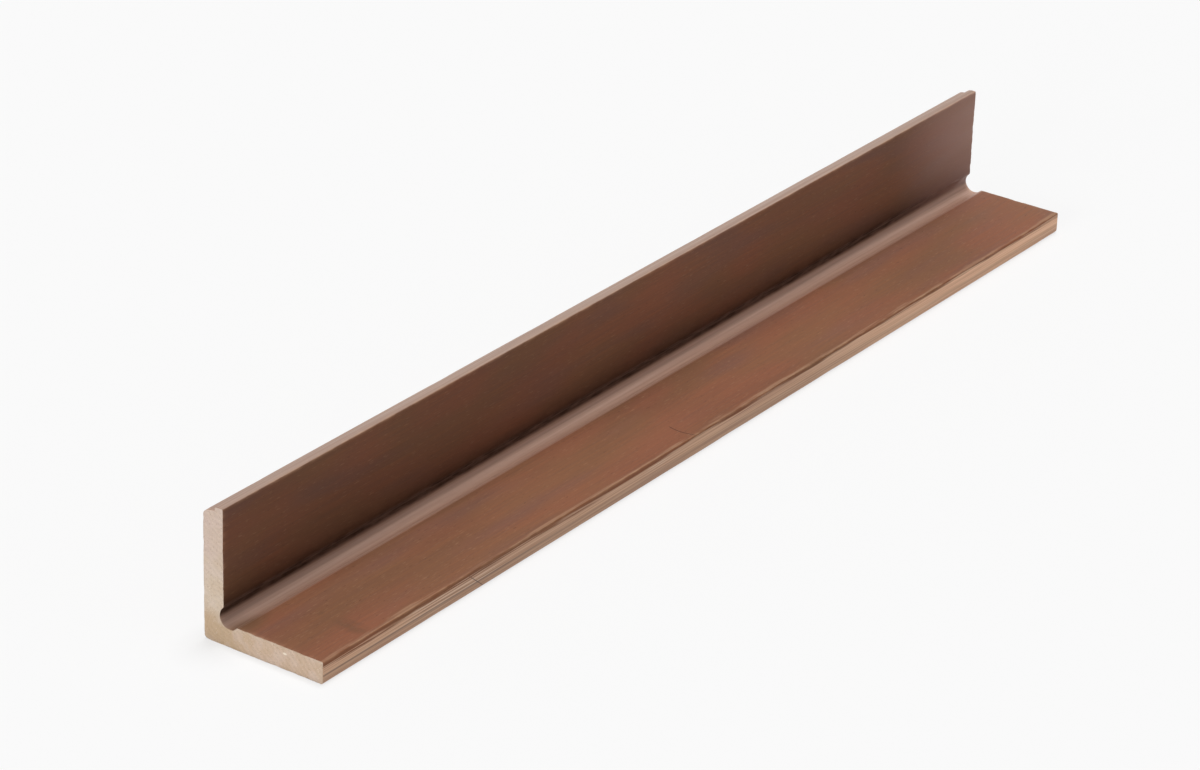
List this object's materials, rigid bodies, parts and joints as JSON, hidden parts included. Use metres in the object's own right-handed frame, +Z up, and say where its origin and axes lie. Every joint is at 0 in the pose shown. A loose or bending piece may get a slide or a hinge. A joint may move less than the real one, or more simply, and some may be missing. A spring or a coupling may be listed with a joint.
{
  "type": "decking corner trim",
  "caption": "L-section decking corner trim in brown wood-plastic composite, with a round relief along the inner corner and a stepped, crowned lip on the upright leg.",
  "frame": {"origin": "middle of the trim's footprint, on the floor it lies on", "axes": "+X across the flat leg from heel to tip, +Y along the length, +Z up"},
  "size_m": [0.045, 0.42, 0.045],
  "materials": {
    "brown_composite": "satin"
  },
  "bodies": {
    "root": {"corner_trim": "brown_composite"}
  },
  "joints": []
}
